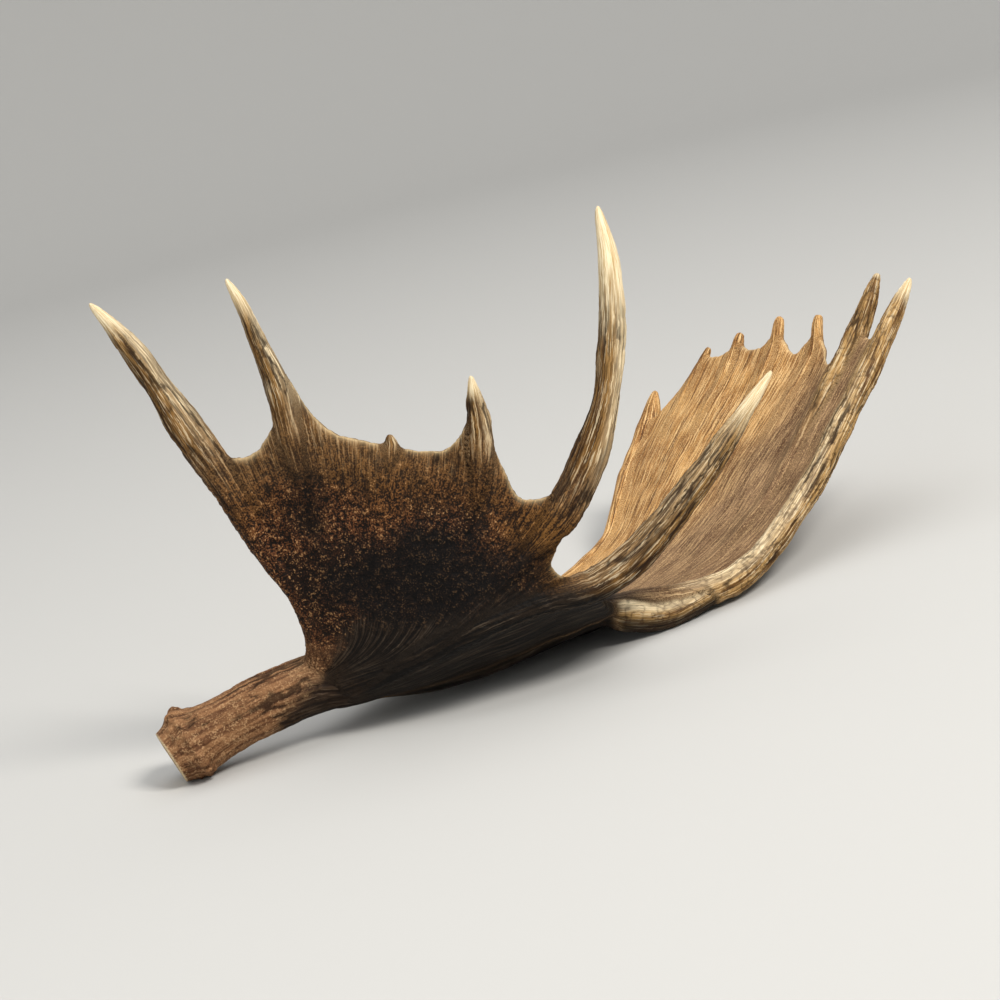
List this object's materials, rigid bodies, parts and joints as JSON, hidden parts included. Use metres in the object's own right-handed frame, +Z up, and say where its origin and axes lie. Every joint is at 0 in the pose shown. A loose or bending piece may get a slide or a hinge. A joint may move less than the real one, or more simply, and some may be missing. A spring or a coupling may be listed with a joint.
{
  "type": "moose antler",
  "caption": "Palmated moose antler, sawn off below the burr, lying on its convex belly with brow palm and tines upright",
  "frame": {"origin": "centre of the bounding box on the surface that the antler lies on", "axes": "+Z up from that surface; X along the length, from the sawn beam at -X to the outer points at +X; +Y from the brow palm to the rear edge of the main palm"},
  "size_m": [0.7684, 0.544, 0.4162],
  "materials": {
    "beam_bone": "dry antler bone, pinkish brown, deeply grooved lengthwise, pearled at the burr",
    "base_bone": "dry antler bone, nearly black brown, faintly ribbed, satin",
    "brow_bone": "dry antler bone, dark reddish brown, granular and pearled, paler along the scalloped edge",
    "palm_bone": "dry antler bone, golden tan, smooth with fine lengthwise streaks, cream grooved rim",
    "tine_bone": "dry antler bone, tan with dark lengthwise streaks, ivory and polished at the tips"
  },
  "bodies": {
    "root": {"beam": "beam_bone", "palm_base": "base_bone", "brow_palm": "brow_bone", "brow_tine_1": "tine_bone", "brow_tine_2": "tine_bone", "brow_tine_3": "tine_bone", "brow_tine_4": "tine_bone", "fork_tine": "tine_bone", "main_palm": "palm_bone", "outer_point_6": "tine_bone", "outer_point_7": "tine_bone"}
  },
  "joints": []
}
